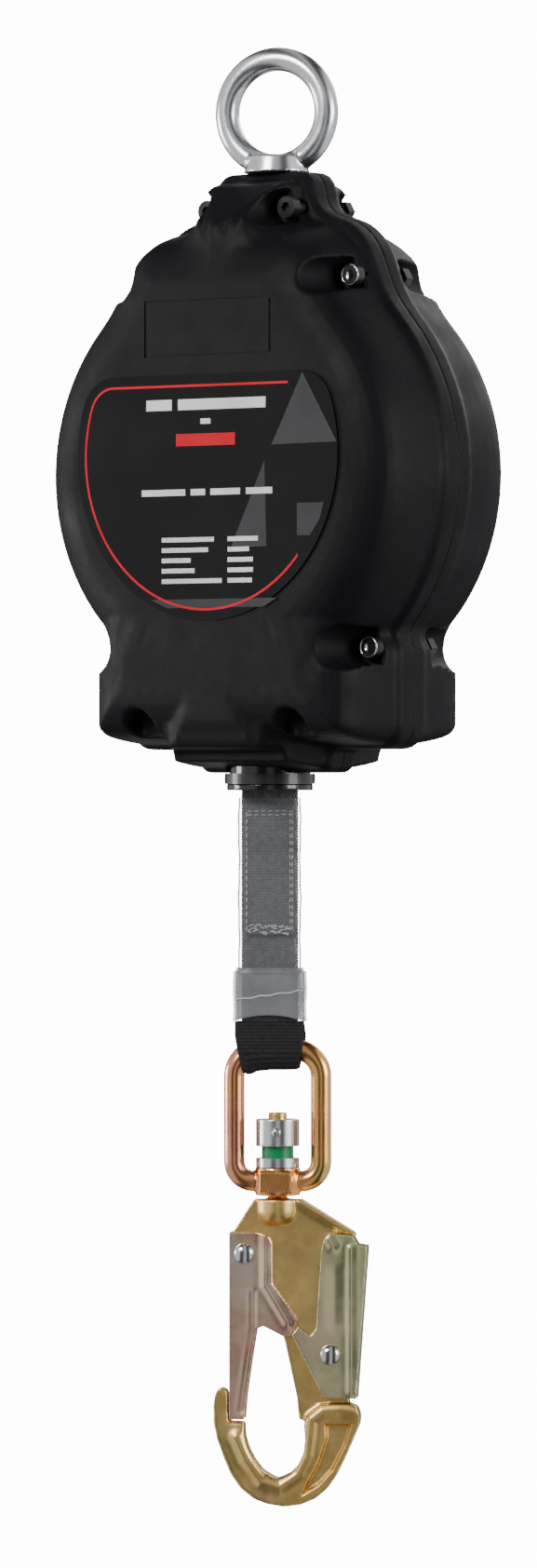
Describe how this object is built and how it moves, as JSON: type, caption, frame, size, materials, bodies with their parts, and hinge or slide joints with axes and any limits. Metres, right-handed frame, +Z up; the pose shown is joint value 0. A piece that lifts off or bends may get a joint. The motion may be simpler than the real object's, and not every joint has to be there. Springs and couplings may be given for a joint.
{
  "type": "self retracting lifeline",
  "caption": "Webbing fall-arrester block: swivel anchor eye over a round moulded casing with drum, brake and return spring, and a webbing line ending in a swivel snap hook",
  "frame": {"origin": "Centre of the anchor eye's hole, from which the block hangs", "axes": "+Z up, the way the line runs; the casing's labelled front faces -Y and +X is the front's right"},
  "size_m": [0.186, 0.0928, 0.5956],
  "materials": {
    "zinc": "bright zinc plate",
    "yellow_zinc": "yellow iridescent zinc plate",
    "pink_zinc": "pale iridescent zinc plate",
    "green_zinc": "pale greenish zinc plate",
    "rivet_steel": "polished",
    "casing_plastic": "fine moulded texture",
    "label_print": "glossy printed film",
    "label_red": "glossy printed film",
    "label_grey": "glossy printed film",
    "black_bolt": "black oxide",
    "black_gloss": "glossy",
    "rubber": "matt",
    "bronze": "sintered",
    "lining": "friction lining",
    "drum_plastic": "glass-filled nylon",
    "webbing": "woven polyester",
    "thread": "sewing thread",
    "sleeve": "clear flexible film",
    "black_webbing": "ribbed tubular webbing",
    "green_plastic": "moulded",
    "spring_steel": "spring steel"
  },
  "bodies": {
    "anchor": {"anchor_eye": "zinc", "eye_nut": "zinc"},
    "casing": {"eye_thrust_washer": "bronze", "swivel_bush": "bronze", "swivel_block": "zinc", "front_shell": "casing_plastic", "rear_shell": "casing_plastic", "front_label": "label_print", "label_border": "label_red", "label_graphic": "label_grey", "id_plate": "casing_plastic", "shell_bolts": "black_bolt", "shell_nuts": "zinc", "front_plate": "zinc", "rear_plate": "zinc", "plate_spacers": "zinc", "spacer_screws": "zinc", "axle_bushes": "bronze", "brake_linings": "lining", "ratchet_ring": "zinc", "pressure_plate": "zinc", "brake_screws": "zinc", "spring_case": "black_gloss", "retraction_spring": "spring_steel", "guide_rollers": "rivet_steel", "exit_nozzle": "black_gloss", "nozzle_bumper": "rubber"},
    "drum": {"main_axle": "zinc", "drum_core": "drum_plastic", "drum_flanges": "drum_plastic", "webbing_roll": "webbing", "webbing_pin": "zinc", "axle_circlips": "zinc", "pawl_carrier": "zinc", "spring_arbor": "zinc", "pawl_pins": "zinc"},
    "pawl_a": {"pawl_a": "spring_steel"},
    "pawl_b": {"pawl_b": "spring_steel"},
    "line": {"webbing_lead": "webbing", "webbing_splice": "webbing", "webbing_tail": "webbing", "splice_stitching": "thread", "clear_sleeve": "sleeve", "sleeve_cuff": "sleeve", "loop_protector": "black_webbing"},
    "frame": {"swivel_frame": "pink_zinc"},
    "hook": {"hook_body": "yellow_zinc", "swivel_washer": "zinc", "indicator_ring": "green_plastic", "swivel_collar": "zinc", "collar_pin": "zinc", "gate_rivet": "rivet_steel", "lever_rivet": "rivet_steel", "lever_spring": "spring_steel"},
    "gate": {"gate": "pink_zinc", "gate_spring": "spring_steel"},
    "lever": {"lock_lever": "green_zinc"}
  },
  "joints": [
    {"name": "eye_swivel", "type": "hinge", "parent": "anchor", "child": "casing", "pos_m": [0, 0, -0.045], "axis": [0, 0, 1], "continuous": true},
    {"name": "line_pull", "type": "slide", "parent": "casing", "child": "line", "axis": [0, 0, -1], "range_m": [0, 7], "stiffness_N_per_m": 1, "springref_m": -12, "deforming": ["webbing_lead"]},
    {"name": "drum_spin", "type": "hinge", "parent": "casing", "child": "drum", "pos_m": [0, 0, -0.148], "axis": [0, -1, 0], "range_deg": [0, 9360]},
    {"name": "pawl_a_swing", "type": "hinge", "parent": "drum", "child": "pawl_a", "pos_m": [0, -0.027, -0.124], "axis": [0, 1, 0], "range_deg": [0, 16], "stiffness_Nm_per_rad": 0.01, "springref_deg": -57.3},
    {"name": "pawl_b_swing", "type": "hinge", "parent": "drum", "child": "pawl_b", "pos_m": [0, -0.027, -0.172], "axis": [0, 1, 0], "range_deg": [0, 16], "stiffness_Nm_per_rad": 0.01, "springref_deg": -57.3},
    {"name": "frame_swing", "type": "hinge", "parent": "line", "child": "frame", "pos_m": [-0.00092, 0.00174, -0.3823], "axis": [0.8387, 0.5446, 0], "range_deg": [-65, 65]},
    {"name": "hook_swivel", "type": "hinge", "parent": "frame", "child": "hook", "pos_m": [-0.00092, 0.00174, -0.436], "axis": [0, 0, 1], "continuous": true},
    {"name": "gate_open", "type": "hinge", "parent": "hook", "child": "gate", "pos_m": [-0.01207, -0.0055, -0.4655], "axis": [0.5446, -0.8387, 0], "range_deg": [0, 17], "stiffness_Nm_per_rad": 0.12, "springref_deg": -28.65},
    {"name": "lock_tip", "type": "hinge", "parent": "hook", "child": "lever", "pos_m": [0.01753, 0.01372, -0.5065], "axis": [0.5446, -0.8387, 0], "range_deg": [0, 7.2], "stiffness_Nm_per_rad": 0.06, "springref_deg": -28.65}
  ],
  "couplings": [
    {"joint": "drum_spin", "follows": "line_pull", "rad_per_m": 23.338},
    {"joint": "pawl_b_swing", "follows": "pawl_a_swing", "ratio": 1},
    {"joint": "lock_tip", "follows": "gate_open", "ratio": 0.42}
  ]
}
